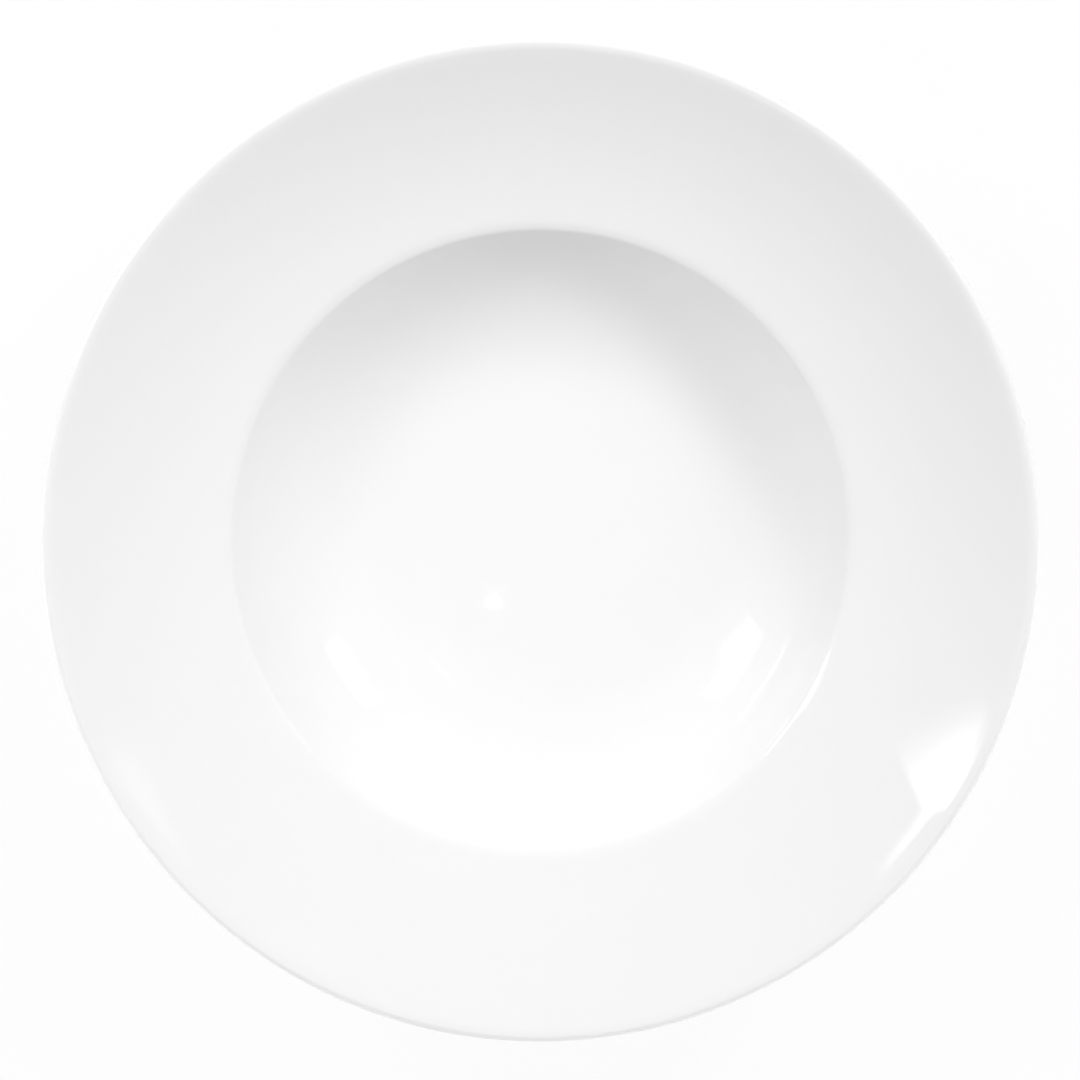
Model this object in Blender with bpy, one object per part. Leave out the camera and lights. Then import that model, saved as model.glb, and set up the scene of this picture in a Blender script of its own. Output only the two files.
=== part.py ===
"""Pasta bowl in glazed porcelain: a wide rim round a deep well, standing on a bare foot ring.

Metres, +Z up. The origin is on the bowl's axis, in the plane that the foot stands on.
The fired body's half section is drawn as corners with fillets and turned about the axis.
The glaze is a thin coat over that outline, wiped off where the foot meets the table, so it
comes in two pieces: one over the bowl, and one inside the foot ring.
"""

from math import acos, ceil, cos, pi, radians, sin, tan

import bmesh
import bpy
from mathutils import Matrix, Vector

# Overall sizes, over the glaze
RIM_DIAMETER = 0.300
BOWL_HEIGHT = 0.0565

# The well of the fired body
WELL_DIAMETER = 0.1876  # where the lines of wall and rim meet
WELL_DEPTH = 0.0266  # from that meeting down to the floor's centre
FLOOR_SLOPE = radians(0.8)
WALL_SLOPE = radians(51.1)
CORNER_RADIUS = 0.0497  # floor to wall
UNDER_CORNER_RADIUS = 0.044
SHOULDER_RADIUS = 0.0072  # wall to rim
UNDER_SHOULDER_RADIUS = 0.010

# The rim
RIM_HOLLOW = 0.0013  # dip below a straight line from shoulder to lip
RIM_CURVE_RADIUS = 0.232
LIP_RADIUS = 0.0019

# Walls of the fired body
FLOOR_THICKNESS = 0.0042
WALL_THICKNESS = 0.0038
RIM_THICKNESS = 0.0040

# The foot ring
FOOT_DIAMETER = 0.100
FOOT_WIDTH = 0.0052
FOOT_HEIGHT = 0.0045  # from the table up to the base's centre
FOOT_DRAFT = radians(14.0)
FOOT_ROOT_RADIUS = 0.0025
FOOT_EDGE_RADIUS = 0.0009

# The glaze
GLAZE_THICKNESS = 0.0003
BOND_GAP = 0.0003  # parts the coat's mesh from the body's
GLAZE_LINE = 0.0013  # height on the foot down to which it is glazed
COAT = BOND_GAP + GLAZE_THICKNESS

# How finely round shapes are cut into flats
SEGMENTS = 60
CHORD_ERROR = 0.0002
MERGE_DISTANCE = 0.00001
FILLET_ROOM = 0.98  # share of a straight side that its two fillets may take
SHARP_ANGLE = radians(40.0)

PORCELAIN_WHITE = (0.80, 0.785, 0.75, 1.0)
GLAZE_WHITE = (0.90, 0.90, 0.895, 1.0)


def clear_scene():
    for obj in list(bpy.data.objects):
        bpy.data.objects.remove(obj)


def ceramic(name, colour, roughness):
    material = bpy.data.materials.new(name)
    material.use_nodes = True
    shader = material.node_tree.nodes["Principled BSDF"]
    shader.inputs["Base Color"].default_value = colour
    shader.inputs["Roughness"].default_value = roughness
    shader.inputs["Metallic"].default_value = 0.0
    return material


def heading(angle):
    """The direction in the section plane that rises outwards at an angle."""
    return Vector((cos(angle), sin(angle)))


def meeting(point, along, other_point, other_along):
    """Where two straight lines cross, each given by a point and a direction."""
    reach = (other_point - point).cross(other_along) / along.cross(other_along)
    return point + along * reach


def touching(point, centre, radius, swing_sign):
    """Where the straight line from a point touches a circle, on the side that the sign picks."""
    towards = point - centre
    swing = swing_sign * acos(radius / towards.length)
    return centre + Matrix.Rotation(swing, 2) @ towards.normalized() * radius


def arc(start, along, side, radius, turn):
    """Points on an arc that leaves start along one direction and bends to the side."""
    steps = max(1, ceil(turn / (2 * acos(1 - min(1, CHORD_ERROR / radius)))))
    angles = [turn * step / steps for step in range(steps + 1)]
    return [start + (along * sin(a) + side * (1 - cos(a))) * radius for a in angles]


def rounded(corners):
    """The chain of points through (corner, fillet radius) pairs, with an arc for each fillet.

    A fillet that its straight sides have no room for is made smaller.
    """
    points = [point for point, _ in corners]
    lines = [end - start for start, end in zip(points, points[1:])]
    ways = [line.normalized() for line in lines]
    turns = [way.angle(next_way) for way, next_way in zip(ways, ways[1:])]
    reaches = [radius * tan(turn / 2) for (_, radius), turn in zip(corners[1:-1], turns)]
    ends = [0.0, *reaches, 0.0]
    room = [
        min(1.0, FILLET_ROOM * line.length / max(near + far, MERGE_DISTANCE))
        for line, near, far in zip(lines, ends, ends[1:])
    ]
    chain = [points[0]]
    for i, (turn, reach) in enumerate(zip(turns, reaches)):
        reach *= min(room[i], room[i + 1])
        side = (ways[i + 1] - ways[i] * cos(turn)).normalized()
        start = points[i + 1] - ways[i] * reach
        chain += arc(start, ways[i], side, reach / tan(turn / 2), turn)
    return [*chain, points[-1]]


def body_outline():
    """The fired body's half section, from the well's centre over the lip to the base's centre."""
    base = Vector((0.0, FOOT_HEIGHT))
    floor = base + Vector((0.0, FLOOR_THICKNESS))
    shoulder = floor + Vector((WELL_DIAMETER / 2, WELL_DEPTH))
    lip = Vector((RIM_DIAMETER / 2, BOWL_HEIGHT)) - Vector((1.0, 1.0)) * (COAT + LIP_RADIUS)
    crest = lip + Vector((0.0, LIP_RADIUS))
    along_floor, along_wall = heading(FLOOR_SLOPE), heading(WALL_SLOPE)

    rim = (shoulder + crest) / 2 - Vector((0.0, 2 * RIM_HOLLOW))
    rim_end = touching(rim, lip, LIP_RADIUS, -1)
    top = rounded([
        (floor, 0.0),
        (meeting(floor, along_floor, shoulder, along_wall), CORNER_RADIUS),
        (shoulder, SHOULDER_RADIUS),
        (rim, RIM_CURVE_RADIUS),
        (rim_end, 0.0),
    ])

    under_rim = rim - Vector((0.0, RIM_THICKNESS))
    under_end = touching(under_rim, lip, LIP_RADIUS, 1)
    outer_wall = shoulder - along_wall.orthogonal() * WALL_THICKNESS
    foot_out = Vector((FOOT_DIAMETER / 2, 0.0))
    foot_in = foot_out - Vector((FOOT_WIDTH, 0.0))
    out_side, in_side = heading(pi / 2 - FOOT_DRAFT), heading(pi / 2 + FOOT_DRAFT)
    under = rounded([
        (under_end, 0.0),
        (under_rim, RIM_CURVE_RADIUS + RIM_THICKNESS),
        (meeting(under_rim, rim - shoulder, outer_wall, along_wall), UNDER_SHOULDER_RADIUS),
        (meeting(base, along_floor, outer_wall, along_wall), UNDER_CORNER_RADIUS),
        (meeting(foot_out, out_side, base, along_floor), FOOT_ROOT_RADIUS),
        (foot_out, FOOT_EDGE_RADIUS),
        (foot_in, FOOT_EDGE_RADIUS),
        (meeting(foot_in, in_side, base, along_floor), FOOT_ROOT_RADIUS),
        (base, 0.0),
    ])

    rising, falling = (rim_end - rim).normalized(), (under_rim - under_end).normalized()
    lip_turn = rising.angle_signed(falling) % (2 * pi)
    lip_arc = arc(rim_end, rising, (lip - rim_end).normalized(), LIP_RADIUS, lip_turn)
    return top[:-1] + lip_arc + under[1:]


def glazed_stretches(outline):
    """The body's outline down to the glaze line outside the foot, and from that line inside it."""
    bare = [i for i, point in enumerate(outline) if point.y < GLAZE_LINE]
    first, last = bare[0], bare[-1]

    def on_line(start, end):
        return start.lerp(end, (GLAZE_LINE - start.y) / (end.y - start.y))

    over_bowl = [*outline[:first], on_line(outline[first - 1], outline[first])]
    in_foot = [on_line(outline[last], outline[last + 1]), *outline[last + 1:]]
    return over_bowl, in_foot


def moved_out(chain, distance):
    """A stretch of the outline moved off the body by a distance. Ends on the axis stay on it."""
    mirrored = [Vector((-point.x, point.y)) for point in (chain[1], chain[-2])]
    before = mirrored[0] if chain[0].x == 0 else 2 * chain[0] - chain[1]
    after = mirrored[1] if chain[-1].x == 0 else 2 * chain[-1] - chain[-2]
    moved = []
    for last, point, following in zip([before, *chain], chain, [*chain[1:], after]):
        normal = (point - last).orthogonal().normalized()
        next_normal = (following - point).orthogonal().normalized()
        moved.append(point + (normal + next_normal) * distance / (1 + normal.dot(next_normal)))
    return moved


def coat_section(chain):
    """The half section of the glaze over a stretch of the outline, from axis to axis."""
    outside, inside = moved_out(chain, COAT), moved_out(chain, BOND_GAP)
    return outside + inside[::-1] if chain[0].x == 0 else inside[::-1] + outside


def turned(name, section, material):
    """A solid turned about the Z axis from a half section that starts and ends on the axis."""
    bm = bmesh.new()
    verts = [bm.verts.new((point.x, 0.0, point.y)) for point in section]
    edges = [bm.edges.new(pair) for pair in zip(verts, verts[1:])]
    bmesh.ops.spin(
        bm,
        geom=verts + edges,
        cent=(0.0, 0.0, 0.0),
        axis=(0.0, 0.0, 1.0),
        angle=2 * pi,
        steps=SEGMENTS,
    )
    bmesh.ops.remove_doubles(bm, verts=bm.verts, dist=MERGE_DISTANCE)
    bmesh.ops.recalc_face_normals(bm, faces=bm.faces)
    mesh = bpy.data.meshes.new(name)
    bm.to_mesh(mesh)
    bm.free()
    mesh.shade_smooth()
    mesh.set_sharp_from_angle(angle=SHARP_ANGLE)
    mesh.materials.append(material)
    obj = bpy.data.objects.new(name, mesh)
    bpy.context.scene.collection.objects.link(obj)
    return obj


def main():
    clear_scene()
    porcelain = ceramic("fired_porcelain", PORCELAIN_WHITE, 0.6)
    glaze = ceramic("clear_white_glaze", GLAZE_WHITE, 0.08)
    outline = body_outline()
    over_bowl, in_foot = glazed_stretches(outline)

    bowl = bpy.data.objects.new("pasta_bowl", None)
    bpy.context.scene.collection.objects.link(bowl)
    for piece in (
        turned("porcelain_body", outline, porcelain),
        turned("glaze_coat", coat_section(over_bowl), glaze),
        turned("base_glaze", coat_section(in_foot), glaze),
    ):
        piece.parent = bowl


main()
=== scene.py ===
import bpy
import numpy as np
from mathutils import Euler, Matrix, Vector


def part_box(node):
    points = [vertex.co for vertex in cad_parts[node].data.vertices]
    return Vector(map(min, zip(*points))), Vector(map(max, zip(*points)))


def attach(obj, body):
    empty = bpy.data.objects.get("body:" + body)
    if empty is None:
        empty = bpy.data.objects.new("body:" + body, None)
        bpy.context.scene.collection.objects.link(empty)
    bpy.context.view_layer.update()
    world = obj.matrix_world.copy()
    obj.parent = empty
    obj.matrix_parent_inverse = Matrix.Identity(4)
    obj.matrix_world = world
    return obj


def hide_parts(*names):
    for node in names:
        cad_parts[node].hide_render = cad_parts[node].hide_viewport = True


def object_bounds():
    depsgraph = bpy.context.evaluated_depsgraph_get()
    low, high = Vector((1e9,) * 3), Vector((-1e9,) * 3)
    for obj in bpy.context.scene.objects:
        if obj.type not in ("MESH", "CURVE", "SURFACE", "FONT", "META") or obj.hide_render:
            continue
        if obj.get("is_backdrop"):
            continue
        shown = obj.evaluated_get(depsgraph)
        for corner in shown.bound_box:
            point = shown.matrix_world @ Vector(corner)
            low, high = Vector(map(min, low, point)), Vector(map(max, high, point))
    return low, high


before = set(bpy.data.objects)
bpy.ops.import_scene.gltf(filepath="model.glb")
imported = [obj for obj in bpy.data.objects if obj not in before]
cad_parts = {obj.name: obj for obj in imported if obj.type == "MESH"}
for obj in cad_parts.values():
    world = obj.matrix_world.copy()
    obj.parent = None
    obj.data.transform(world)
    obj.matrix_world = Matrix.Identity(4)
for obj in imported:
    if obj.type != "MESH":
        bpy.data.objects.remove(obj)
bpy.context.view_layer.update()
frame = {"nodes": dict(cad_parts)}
print("frame loaded:", ", ".join(frame["nodes"]))

mm = 0.001
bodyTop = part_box("porcelain_body")[1]  # the fired body's reach, under its glaze
rimRadius = bodyTop.x / mm
rimHeight = bodyTop.z / mm

bowlShape = {  # the fired body, in mm and degrees
    "wellDiameter": 189.8,  # at the top of the wall
    "wellDepth": 26.9,
    "floorSlope": 0.0,
    "wallSlope": 52.1,
    "cornerRadius": 47.0,  # floor to the lower wall
    "bendSlope": 49.3,  # of the lower wall
    "bendBelow": 9.1,  # from the wall's top down to where it bends
    "bendCurve": 46.0,
    "underCorner": 38.0,
    "shoulderRadius": 2.6,  # from the wall to the shoulder's easing slope
    "easeSlope": 25.0,
    "easeWidth": 2.0,
    "easeCurve": 10.0,  # from that slope to the rim
    "underShoulderRadius": 8.0,
    "rimHollow": 1.62,  # dip below a straight line from shoulder to lip
    "rimMiddle": 0.51,  # where along that line it is deepest
    "rimCurve": 188.0,
    "rimSoft": 0.02,  # as softBend, for the rim's hollow
    "underRimCurve": 168.0,
    "lipRadius": 0.9,
    "underLip": 2.0,  # radius under the lip
    "lipDrop": 1.2,  # upright stretch between the two roundings
    "edgeSlope": 27.2,  # of the steeper stretch that ends the rim
    "edgeWidth": 3.3,
    "edgeCurve": 52.0,
    "crownSlope": 12.0,  # of the narrow crown between that stretch and the lip
    "crownWidth": 1.0,
    "crownCurve": 6.4,
    "floorThickness": 3.6,
    "wallThickness": 3.8,
    "rimThickness": 4.0,
    "footDiameter": 100.0,
    "footWidth": 5.2,
    "footHeight": 4.2,
    "footDraft": 14.0,
    "footRoot": 2.2,
    "footEdge": 0.9,
    "softBend": 0.25,  # share of a bend over which its curvature builds up and dies away
}

firing = {  # how far the kiln pulled the rim out of flat, in mm, and where, in degrees
    "twoHighs": 0.16,
    "twoAt": 25.0,
    "threeHighs": 0.07,
    "threeAt": 70.0,
    "risePower": 4,  # of the radius, by which the warp grows from the middle to the lip
    "oval": 0.0033,  # share by which it came out longer one way than round
}

meshing = {
    "around": 240,  # flats round the axis
    "alongStep": 1.9,  # mm
    "turnStep": 4.0,  # degrees
    "bendLeast": 3,  # steps in the smallest bend
    "fineSteps": 40,  # of the sums inside one step of a bend
    "sharpSoft": 1e-6,  # stands for a softness of nothing
    "hiddenEvery": 3,  # points for one that is kept under the glaze
}


# unit vector that rises outwards at an angle in the section's plane
def heading(degrees):
    angle = np.radians(degrees)
    return np.array([np.cos(angle), np.sin(angle)])


def cross(a, b):
    return a[0] * b[1] - a[1] * b[0]


# crossing of two lines, p + t * u with t = (q - p) x v / (u x v)
def meeting(p, u, q, v):
    return p + u * cross(q - p, v) / cross(u, v)


# touching point of the straight line from p on a circle, the side given by the sign
def touching(p, centre, radius, sign):
    away = p - centre
    distance = np.hypot(*away)
    swing = sign * np.arccos(radius / distance)
    turn = np.array([[np.cos(swing), -np.sin(swing)], [np.sin(swing), np.cos(swing)]])
    return centre + turn @ away * radius / distance


# running integral of evenly spaced values, by the trapezium rule
def runningSum(values, step):
    return np.concatenate([[0.0], np.cumsum((values[1:] + values[:-1]) / 2)]) * step


# section line through corners (point, radius, softness): at each corner the line turns along a bend
# whose curvature climbs from nothing to 1 / radius, holds and falls again, so reflections run smoothly
def bentLine(corners):
    points = [corner[0] for corner in corners]
    ways = [(b - a) / np.hypot(*(b - a)) for a, b in zip(points, points[1:])]
    fine = meshing["fineSteps"]
    runs = [points[0][None]]
    for (corner, radius, soft), way, nextWay in zip(corners[1:-1], ways, ways[1:]):
        turn = np.arccos(np.clip(way @ nextWay, -1, 1))
        side = (nextWay - way * np.cos(turn)) / np.sin(turn)
        length = radius * turn / (1 - soft / 2)
        steps = max(np.degrees(turn) / meshing["turnStep"], length / meshing["alongStep"])
        count = fine * (meshing["bendLeast"] + int(steps))
        share = np.linspace(0, 1, count + 1)
        curvature = np.clip(np.minimum(share, 1 - share) / max(soft / 2, meshing["sharpSoft"]), 0, 1)
        angle = runningSum(curvature, 1 / count)
        angle *= turn / angle[-1]
        along = runningSum(np.cos(angle), length / count)[::fine, None]
        across = runningSum(np.sin(angle), length / count)[::fine, None]
        start = corner - way * across[-1] / np.sin(turn)
        runs.append(start + way * along + side * across)
    runs.append(points[-1][None])
    return np.concatenate(runs)


# the same line with its long straight stretches cut into even steps
def evenSteps(line, longest):
    travelled = np.concatenate([[0.0], np.cumsum(np.hypot(*np.diff(line, axis=0).T))])
    cuts = np.maximum(1, np.ceil(np.diff(travelled) / longest)).astype(int)
    place = np.repeat(travelled[:-1], cuts) + np.concatenate(
        [np.arange(n) / n * gap for n, gap in zip(cuts, np.diff(travelled))]
    )
    place = np.append(place, travelled[-1])
    return np.stack([np.interp(place, travelled, line[:, k]) for k in (0, 1)], axis=1)


# half section of the fired body, from the well's centre over the lip to the base's centre; the rim's
# corner lies twice as deep as the hollow that its bend leaves
def bodyLine(s):
    base = np.array([0.0, s["footHeight"]])
    floor = base + [0.0, s["floorThickness"]]
    shoulder = floor + [s["wellDiameter"] / 2, s["wellDepth"]]
    lip = np.array([rimRadius, rimHeight]) - s["lipRadius"]
    crest = lip + [0.0, s["lipRadius"]]
    rim = shoulder + (crest - shoulder) * s["rimMiddle"] - [0.0, 2 * s["rimHollow"]]
    underRim = rim - [0.0, s["rimThickness"]]
    floorWay, wallWay = heading(s["floorSlope"]), heading(s["wallSlope"])
    outerWall = shoulder + np.array([wallWay[1], -wallWay[0]]) * s["wallThickness"]
    edge, upright = np.array([rimRadius, 0.0]), np.array([0.0, 1.0])
    crownWay = heading(s["crownSlope"])
    crown = lip + np.array([-crownWay[1], crownWay[0]]) * s["lipRadius"] - crownWay * s["crownWidth"]
    edgeStart = crown - heading(s["edgeSlope"]) * s["edgeWidth"]
    easeEnd = shoulder + heading(s["easeSlope"]) * s["easeWidth"]
    underLip = np.array([rimRadius - s["underLip"], lip[1] - s["lipDrop"]])
    lipUnder = touching(underRim, underLip, s["underLip"], 1)
    wallBend = shoulder - wallWay * s["bendBelow"]
    bendWay = heading(s["bendSlope"])
    footOut = np.array([s["footDiameter"] / 2, 0.0])
    footIn = footOut - [s["footWidth"], 0.0]
    outSide, inSide = heading(90 - s["footDraft"]), heading(90 + s["footDraft"])
    soft = s["softBend"]
    return evenSteps(bentLine([
        (floor, 0, 0),
        (meeting(floor, floorWay, wallBend, bendWay), s["cornerRadius"], soft),
        (wallBend, s["bendCurve"], soft),
        (shoulder, s["shoulderRadius"], soft),
        (easeEnd, s["easeCurve"], soft),
        (rim, s["rimCurve"], s["rimSoft"]),
        (edgeStart, s["edgeCurve"], soft),
        (crown, s["crownCurve"], soft),
        (meeting(crown, crownWay, edge, upright), s["lipRadius"], 0),
        (meeting(underRim, lipUnder - underRim, edge, upright), s["underLip"], 0),
        (underRim, s["underRimCurve"], soft),
        (meeting(underRim, rim - shoulder, outerWall, wallWay), s["underShoulderRadius"], soft),
        (meeting(base, floorWay, outerWall, wallWay), s["underCorner"], soft),
        (meeting(footOut, outSide, base, floorWay), s["footRoot"], 0),
        (footOut, s["footEdge"], 0),
        (footIn, s["footEdge"], 0),
        (meeting(footIn, inSide, base, floorWay), s["footRoot"], 0),
        (base, 0, 0),
    ]), meshing["alongStep"])


glazeCoat = {  # mm
    "thickness": 0.6,
    "bond": 0.02,  # the porcelain's own skin lies this far under it
    "lineHeight": 1.3,  # on the foot, down to which it is glazed
    "beadWidth": 0.9,  # over which its edge rounds off
    "beadSwell": 0.12,  # extra thickness where the melt gathered above the edge
    "beadCrest": 1.6,  # from the edge, in bead widths
}


# outward normals of a section line, with the ends on the axis kept upright
def outward(line):
    way = np.gradient(line, axis=0)
    way /= np.hypot(*way.T)[:, None]
    normal = np.stack([-way[:, 1], way[:, 0]], axis=1)
    onAxis = line[:, 0] == 0
    normal[onAxis] = np.sign(normal[onAxis]) * [0.0, 1.0]
    return normal


# every few points of a line that the glaze hides, with both its ends
def thinned(line):
    return np.concatenate([line[:-1:meshing["hiddenEvery"]], line[-1:]])


# glaze over a stretch of the body: it is moved out along the normal by the coat's thickness, which
# swells a little near its edge on the foot and then rounds off to nothing as a quarter ellipse
def glazeLine(stretch, g):
    travelled = np.concatenate([[0.0], np.cumsum(np.hypot(*np.diff(stretch, axis=0).T))])
    fromEdge = travelled[-1] - travelled if stretch[0, 0] == 0 else travelled
    closing = np.clip(fromEdge / g["beadWidth"], 0, 1)
    swell = g["beadSwell"] * np.exp(-((fromEdge / g["beadWidth"] - g["beadCrest"]) ** 2))
    thickness = g["bond"] + (g["thickness"] - g["bond"] + swell) * np.sqrt(1 - (1 - closing) ** 2)
    normal = outward(stretch)
    outside = stretch + normal * thickness[:, None]
    inside = thinned(stretch + normal * g["bond"])[::-1]
    return np.concatenate([outside, inside[1:]] if stretch[0, 0] == 0 else [inside[:-1], outside])


# surface turned about Z from a half section that runs from axis to axis: each section point is a ring,
# the two on the axis are poles, and the kiln's warp lifts a ring by a power of its radius
def turnedPiece(name, section):
    around = meshing["around"]
    phi = np.arange(around) * 2 * np.pi / around
    rings = section[1:-1]
    r, z = rings[:, :1], rings[:, 1:]
    warp = firing["twoHighs"] * np.cos(2 * (phi - np.radians(firing["twoAt"])))
    warp += firing["threeHighs"] * np.cos(3 * (phi - np.radians(firing["threeAt"])))
    lift = (r / rimRadius) ** firing["risePower"] * warp
    wide, deep = 1 - firing["oval"], 1 + firing["oval"]
    grid = np.stack([r * np.cos(phi) * wide, r * np.sin(phi) * deep, z + lift], axis=2).reshape(-1, 3)
    poles = [[0.0, 0.0, section[0, 1]], [0.0, 0.0, section[-1, 1]]]
    points = np.concatenate([grid, poles]) * mm
    here = np.arange(around)
    after = np.roll(here, -1)
    row = np.arange(len(rings) - 1)[:, None] * around
    quads = np.stack([row + here, row + around + here, row + around + after, row + after], axis=2)
    last = (len(rings) - 1) * around
    caps = np.concatenate([
        np.stack([np.full(around, len(grid)), here, after], axis=1),
        np.stack([last + here, np.full(around, len(grid) + 1), last + after], axis=1),
    ])
    mesh = bpy.data.meshes.new(name)
    mesh.from_pydata(points, [], quads.reshape(-1, 4).tolist() + caps.tolist())
    mesh.validate()
    mesh.shade_smooth()
    piece = bpy.data.objects.new(name, mesh)
    bpy.context.scene.collection.objects.link(piece)
    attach(piece, "root")
    print(name, len(mesh.vertices), "points")
    return piece


body = bodyLine(bowlShape)
bare = np.flatnonzero(body[:, 1] < glazeCoat["lineHeight"])
overBowl = body[:bare[0]]
inFoot = body[bare[-1] + 1:]
porcelainPiece = turnedPiece("porcelainBody", body)
coatPiece = turnedPiece("glazedBowl", glazeLine(overBowl, glazeCoat))
basePiece = turnedPiece("glazedBase", glazeLine(inFoot, glazeCoat))
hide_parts("porcelain_body")
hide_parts("glaze_coat")
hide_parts("base_glaze")


# sRGB hex to linear colour
def hexColour(text):
    channel = np.array([int(text[i:i + 2], 16) for i in (1, 3, 5)]) / 255
    linear = np.where(channel <= 0.04045, channel / 12.92, ((channel + 0.055) / 1.055) ** 2.4)
    return (*linear.tolist(), 1.0)


def addNode(tree, kind, values=None, links=None, **settings):
    node = tree.nodes.new(kind)
    for key, value in settings.items():
        setattr(node, key, value)
    for socket, value in (values or {}).items():
        node.inputs[socket].default_value = value
    for socket, source in (links or {}).items():
        tree.links.new(source, node.inputs[socket])
    return node


def newMaterial(name):
    material = bpy.data.materials.new(name)
    material.use_nodes = True
    return material, material.node_tree, material.node_tree.nodes["Principled BSDF"]


# 1 where the lens, a mirror or clear glass looks, 0 for light that only falls on something
def seenShare(tree):
    rays = addNode(tree, "ShaderNodeLightPath").outputs
    seen = rays["Is Camera Ray"]
    for kind in ("Is Glossy Ray", "Is Transmission Ray"):
        seen = addNode(
            tree, "ShaderNodeMath", None, {0: seen, 1: rays[kind]}, operation="MAXIMUM",
        ).outputs[0]
    return seen


glazeLook = {
    "white": "#f4f4f4",
    "thin": "#f2f2f2",
    "whiteningHeights": (48.0, 30.0),  # mm, heights between which it turns a shade whiter downwards into the well
    "whiteningWander": 8.0,  # mm up and down
    "mottles": 60.0,  # to a metre
    "roughness": 0.035,
    "refraction": 1.52,
    "peelWidth": 6.0,  # mm from crest to crest of the melt's slight ripple
    "peelHeight": 0.008,  # mm
}


# clear feldspar glaze fired on white porcelain: glossy, neutral white, its melt a little rippled, and a
# shade whiter lower down, towards the well, than on the rim
def clearGlaze(look):
    material, tree, shader = newMaterial("clearGlazeOnPorcelain")
    place = addNode(tree, "ShaderNodeTexCoord").outputs["Object"]
    mottle = addNode(
        tree, "ShaderNodeTexNoise", {"Scale": look["mottles"], "Detail": 3.0}, {"Vector": place},
    )
    height = addNode(tree, "ShaderNodeSeparateXYZ", links={"Vector": place}).outputs["Z"]
    unevenHeight = addNode(
        tree, "ShaderNodeMath", {1: look["whiteningWander"] * mm}, {0: mottle.outputs["Fac"], 2: height},
        operation="MULTIPLY_ADD",
    )
    whitening = addNode(
        tree, "ShaderNodeMapRange", {1: look["whiteningHeights"][0] * mm, 2: look["whiteningHeights"][1] * mm},
        {0: unevenHeight.outputs[0]},
    )
    # a shade whiter lower down than up on the rim, set by height alone
    tone = addNode(
        tree, "ShaderNodeMix", {"A": hexColour(look["thin"]), "B": hexColour(look["white"])},
        {"Factor": whitening.outputs[0]}, data_type="RGBA",
    )
    ripple = addNode(
        tree, "ShaderNodeTexNoise", {"Scale": 1 / (look["peelWidth"] * mm), "Detail": 1.0},
        {"Vector": place},
    )
    bump = addNode(
        tree, "ShaderNodeBump", {"Strength": 1.0, "Distance": look["peelHeight"] * mm},
        {"Height": ripple.outputs["Fac"]},
    )
    tree.links.new(tone.outputs["Result"], shader.inputs["Base Color"])
    tree.links.new(bump.outputs["Normal"], shader.inputs["Normal"])
    shader.inputs["Roughness"].default_value = look["roughness"]
    shader.inputs["IOR"].default_value = look["refraction"]
    return material


glaze = clearGlaze(glazeLook)
coatPiece.data.materials.append(glaze)
basePiece.data.materials.append(glaze)

footLook = {
    "pale": "#ebe7df",
    "dark": "#d9d2c5",
    "grainWidth": 0.5,  # mm
    "grainHeight": 0.02,  # mm
    "patchWidth": 9.0,  # mm, from one stretch polished on the table to the next
    "patchEdge": (0.35, 0.65),  # noise levels between which a polished stretch ends
    "roughness": (0.48, 0.72),  # polished and as fired
}


# unglazed porcelain where the bowl stands: warm off-white with a fine matte grain like eggshell, and
# smoother stretches where it has been rubbed on tables
def barePorcelain(look):
    material, tree, shader = newMaterial("bareFiredPorcelain")
    place = addNode(tree, "ShaderNodeTexCoord").outputs["Object"]
    grain, patches = [
        addNode(
            tree, "ShaderNodeTexNoise", {"Scale": 1 / (width * mm), "Detail": 4.0}, {"Vector": place},
        ).outputs["Fac"]
        for width in (look["grainWidth"], look["patchWidth"])
    ]
    tone = addNode(
        tree, "ShaderNodeMix", {"A": hexColour(look["dark"]), "B": hexColour(look["pale"])},
        {"Factor": grain}, data_type="RGBA",
    )
    edge, rough = look["patchEdge"], look["roughness"]
    sheen = addNode(
        tree, "ShaderNodeMapRange", {1: edge[0], 2: edge[1], 3: rough[0], 4: rough[1]}, {0: patches},
    )
    bump = addNode(
        tree, "ShaderNodeBump", {"Strength": 1.0, "Distance": look["grainHeight"] * mm}, {"Height": grain},
    )
    tree.links.new(tone.outputs["Result"], shader.inputs["Base Color"])
    tree.links.new(sheen.outputs[0], shader.inputs["Roughness"])
    tree.links.new(bump.outputs["Normal"], shader.inputs["Normal"])
    return material


porcelainPiece.data.materials.append(barePorcelain(footLook))
print("materials ready")

stageLook = {"floor": "#f2f2f2", "roughness": 0.9, "size": 6.0, "shadowShare": 0.07}


# plain pale floor that is white to the lens but for a share of the bowl's shadow
def paleFloor(look):
    half = look["size"] / 2
    mesh = bpy.data.meshes.new("paleFloor")
    corners = [(-half, -half, 0), (half, -half, 0), (half, half, 0), (-half, half, 0)]
    mesh.from_pydata(corners, [], [(0, 1, 2, 3)])
    floor = bpy.data.objects.new("paleFloor", mesh)
    bpy.context.scene.collection.objects.link(floor)
    floor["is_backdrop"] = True
    material, tree, shader = newMaterial("paleFloor")
    shader.inputs["Base Color"].default_value = hexColour(look["floor"])
    shader.inputs["Roughness"].default_value = look["roughness"]
    white = addNode(tree, "ShaderNodeEmission", {"Strength": 1.0})
    share = addNode(
        tree, "ShaderNodeMath", {1: 1 - look["shadowShare"]}, {0: seenShare(tree)}, operation="MULTIPLY",
    )
    mix = addNode(
        tree, "ShaderNodeMixShader", None,
        {0: share.outputs[0], 1: shader.outputs[0], 2: white.outputs[0]},
    )
    tree.links.new(mix.outputs[0], tree.nodes["Material Output"].inputs["Surface"])
    mesh.materials.append(material)


paleFloor(stageLook)

roomFill = 0.02  # share of white at which the room lights the bowl
mirrored = ("leftBox", "rightBox", "spot")  # lamps that show in the glaze

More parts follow.
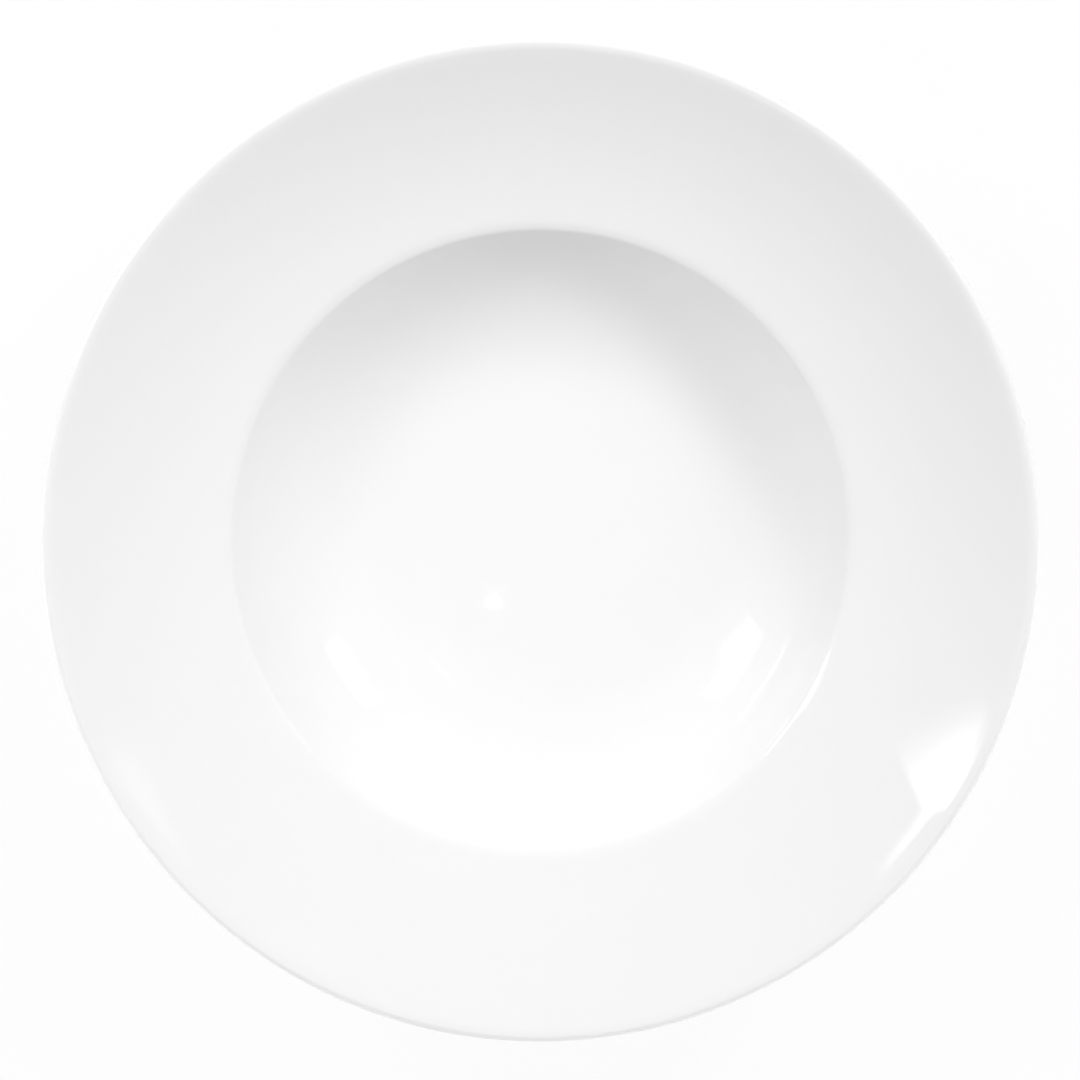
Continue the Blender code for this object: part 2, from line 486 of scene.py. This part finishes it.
lamps = {  # metres and degrees; glow is a lamp's brightness beside white
    "leftBox": {
        "azimuth": 148.4, "zenith": 42.1, "distance": 1.0, "size": (0.275, 0.555), "glow": 7.0,
        "peak": 0.62, "flares": (0.58, 1.1), "sides": (0.05, 0.5), "base": (0.588, 0.076),
        "ends": (0.97, 0.74), "fade": (0.2, 0.06),
    },
    "rightBox": {
        "azimuth": 34.0, "zenith": 46.7, "distance": 1.1, "size": (0.25, 0.395), "glow": 1.3,
        "peak": 0.12, "flares": (0.9, 2.5), "sides": (0.29, 0.14), "base": (0.8, 0.1),
        "ends": (0.0, 0.4), "fade": (0.5, 0.15),
    },
    "spot": {"azimuth": 234.0, "zenith": 2.43, "distance": 1.2, "size": (0.01, 0.01), "glow": 3.0},
    "rightKey": {"azimuth": 40.0, "zenith": 50.0, "distance": 1.4, "size": (0.22, 0.22), "glow": 31.6},
    "backKey": {"azimuth": 120.0, "zenith": 42.0, "distance": 1.4, "size": (0.22, 0.22), "glow": 16.4},
    "middleKey": {"azimuth": 60.0, "zenith": 42.0, "distance": 1.4, "size": (0.22, 0.22), "glow": 8.85},
    "backPanel": {"azimuth": 60.0, "zenith": 65.0, "distance": 1.4, "size": (0.5, 0.5), "glow": 3.43},
    "leftPanel": {"azimuth": 150.0, "zenith": 65.0, "distance": 1.4, "size": (0.5, 0.5), "glow": 4.18},
    "rightPanel": {"azimuth": 342.0, "zenith": 65.0, "distance": 1.4, "size": (0.8, 0.5), "glow": 2.15},
    "frontPanel": {"azimuth": 258.0, "zenith": 50.0, "distance": 1.4, "size": (0.75, 0.5), "glow": 4.08},
    "leftCard": {"azimuth": 212.0, "zenith": 87.5, "distance": 0.6, "size": (0.8, 0.05), "glow": 7.5},
    "rightCard": {"azimuth": 300.0, "zenith": 87.5, "distance": 0.6, "size": (0.8, 0.05), "glow": 7.5},
}


# area lamp on a sphere about the bowl, turned to face its middle; the boxes and the small round spot
# mirror in the glaze, the keys, panels and low cards only give light. Its power is 4 * area * glow
def areaLamp(name, place):
    azimuth, zenith = np.radians([place["azimuth"], place["zenith"]])
    lamp = bpy.data.lights.new(name, "AREA")
    lamp.shape = "ELLIPSE" if name == "spot" else "RECTANGLE"
    lamp.size, lamp.size_y = place["size"]
    lamp.energy = 4 * lamp.size * lamp.size_y * place["glow"]
    obj = bpy.data.objects.new(name, lamp)
    towards = Euler((zenith, 0.0, azimuth + np.pi / 2)).to_matrix()
    obj.rotation_euler = towards.to_euler()
    obj.location = towards.col[2] * place["distance"]
    obj.visible_camera = False
    obj.visible_glossy = name in mirrored
    if "peak" in place:
        lamp.use_nodes = True
        peakedGlow(lamp.node_tree, place)
    bpy.context.scene.collection.objects.link(obj)


# the lit part of a box widens to both sides from a peak on its top edge, each side with its own flare
# and softness, and fades towards the peak; below its base it takes up the whole width, and fades out
# to one end there. Every value is a share of the lamp's width or height
def peakedGlow(tree, box):
    across, up = addNode(
        tree, "ShaderNodeSeparateXYZ", None,
        {0: addNode(tree, "ShaderNodeNewGeometry").outputs["Parametric"]},
    ).outputs[:2]
    aside = addNode(tree, "ShaderNodeMath", {1: box["peak"]}, {0: across}, operation="SUBTRACT").outputs[0]
    foot, footSoft = box["base"]
    fadeFrom, fadeTo = box["fade"]
    rises = [(up, foot, foot - footSoft, 0.0), (across, *box["ends"], 0.0), (up, 1.0, fadeFrom, fadeTo)]
    for flare, soft, way in zip(box["flares"], box["sides"], ("ADD", "SUBTRACT")):
        reach = addNode(
            tree, "ShaderNodeMath", {1: -flare, 2: flare}, {0: up}, operation="MULTIPLY_ADD",
        ).outputs[0]
        inside = addNode(tree, "ShaderNodeMath", None, {0: reach, 1: aside}, operation=way).outputs[0]
        rises.append((inside, 0.0, soft, 0.0))
    low, end, fade, left, right = [
        addNode(
            tree, "ShaderNodeMapRange", {1: dark, 2: bright, 3: least, 4: 1.0}, {0: value},
            interpolation_type="SMOOTHSTEP",
        ).outputs[0]
        for value, dark, bright, least in rises
    ]

    def joined(operation, a, b):
        return addNode(tree, "ShaderNodeMath", None, {0: a, 1: b}, operation=operation).outputs[0]

    wedge = joined("MULTIPLY", joined("MULTIPLY", left, right), fade)
    glow = joined("MAXIMUM", wedge, joined("MULTIPLY", low, end))
    tree.links.new(glow, tree.nodes["Emission"].inputs["Strength"])


for lampName, lampPlace in lamps.items():
    areaLamp(lampName, lampPlace)
print("lamps ready")


# pale room all round: white where the lens or the glaze's mirror sees it, dimmer as light
def softRoom(fill):
    world = bpy.data.worlds.new("softRoom")
    bpy.context.scene.world = world
    world.use_nodes = True
    tree = world.node_tree
    level = addNode(
        tree, "ShaderNodeMath", {1: 1.0 - fill, 2: fill}, {0: seenShare(tree)}, operation="MULTIPLY_ADD",
    )
    sky = tree.nodes["Background"]
    sky.inputs["Color"].default_value = (1.0, 1.0, 1.0, 1.0)
    tree.links.new(level.outputs[0], sky.inputs["Strength"])


softRoom(roomFill)

camera = {
    "height": 1.0,  # metres over the rim
    "rimShare": 0.4625,  # of the frame's width, taken up by the rim's radius
    "sensor": 36.0,  # mm
}


def topCamera(view):
    data = bpy.data.cameras.new("overhead")
    data.sensor_width = view["sensor"]
    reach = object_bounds()[1]
    data.lens = data.sensor_width * view["rimShare"] * view["height"] / reach.x
    obj = bpy.data.objects.new("overhead", data)
    obj.location = (0.0, 0.0, reach.z + view["height"])
    bpy.context.scene.collection.objects.link(obj)
    bpy.context.scene.camera = obj


topCamera(camera)
bpy.context.scene.view_settings.view_transform = "Standard"
